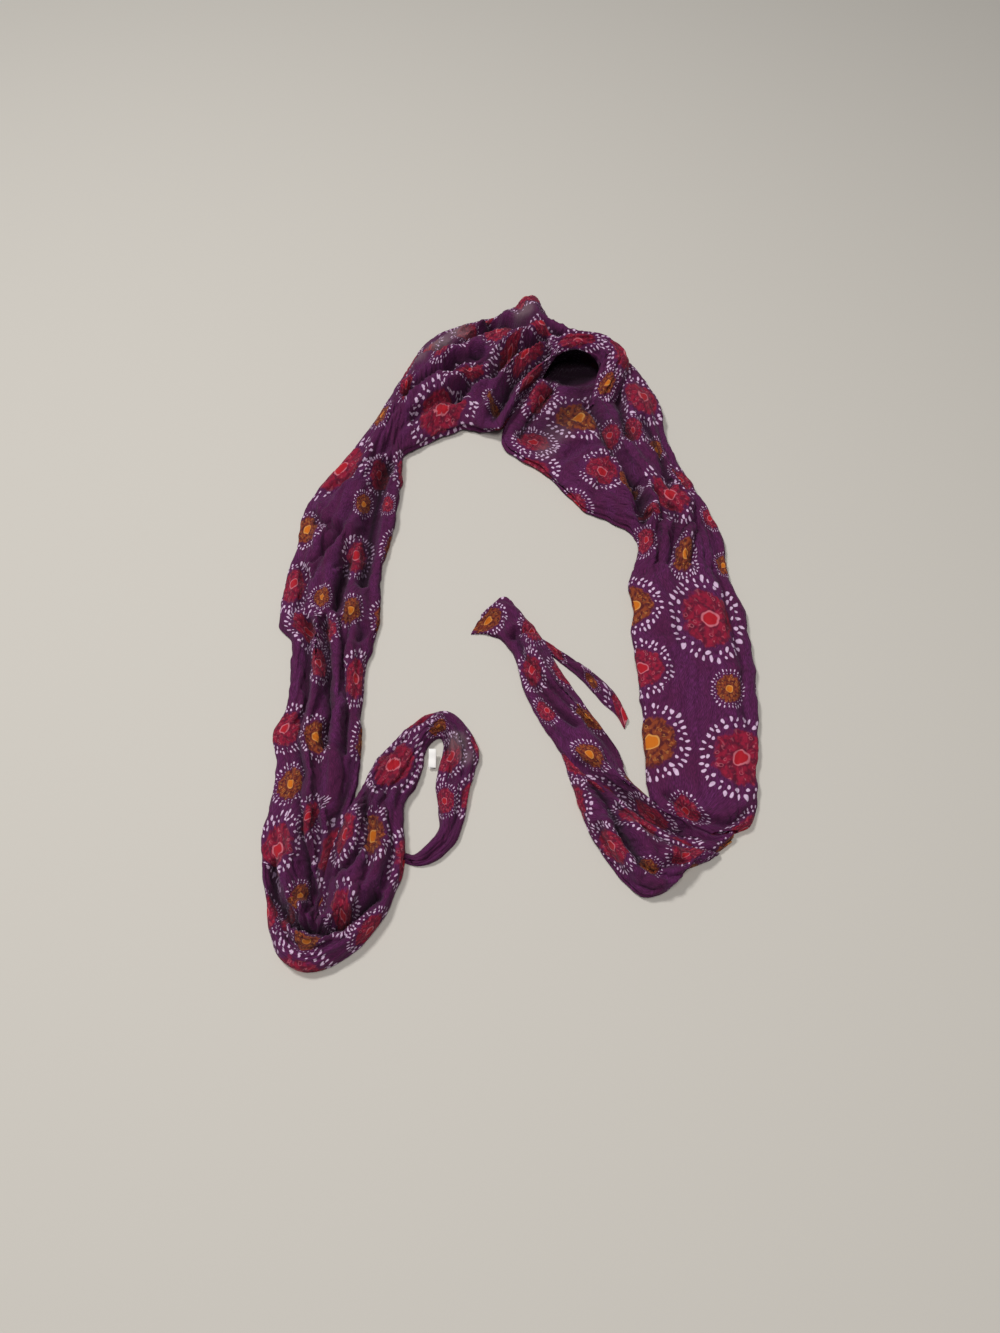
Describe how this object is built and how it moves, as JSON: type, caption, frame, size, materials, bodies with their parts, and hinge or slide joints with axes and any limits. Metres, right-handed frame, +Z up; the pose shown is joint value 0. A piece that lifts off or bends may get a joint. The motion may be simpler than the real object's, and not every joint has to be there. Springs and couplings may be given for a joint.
{
  "type": "scarf",
  "caption": "Long light printed scarf, gathered into a narrow band and dropped in an arch on a flat surface, with a looped tail and a small plain label.",
  "frame": {"origin": "centre of the floor rectangle that the scarf covers, on the surface it lies on", "axes": "+Z up, +Y from the open foot of the arch to its crown, +X to the right"},
  "size_m": [0.3874, 0.6617, 0.0526],
  "materials": {
    "printed_gauze": "crinkled plum gauze with a print of crimson and orange rosettes, matt",
    "label_tape": "plain white woven tape, matt"
  },
  "bodies": {
    "root": {"right_tail": "printed_gauze", "corner_tail": "printed_gauze", "right_bend": "printed_gauze", "right_leg": "printed_gauze", "right_shoulder": "printed_gauze", "crown": "printed_gauze", "left_shoulder": "printed_gauze", "left_leg": "printed_gauze", "left_bend": "printed_gauze", "return_limb": "printed_gauze", "left_loop": "printed_gauze", "left_tail": "printed_gauze", "care_label": "label_tape"}
  },
  "joints": []
}
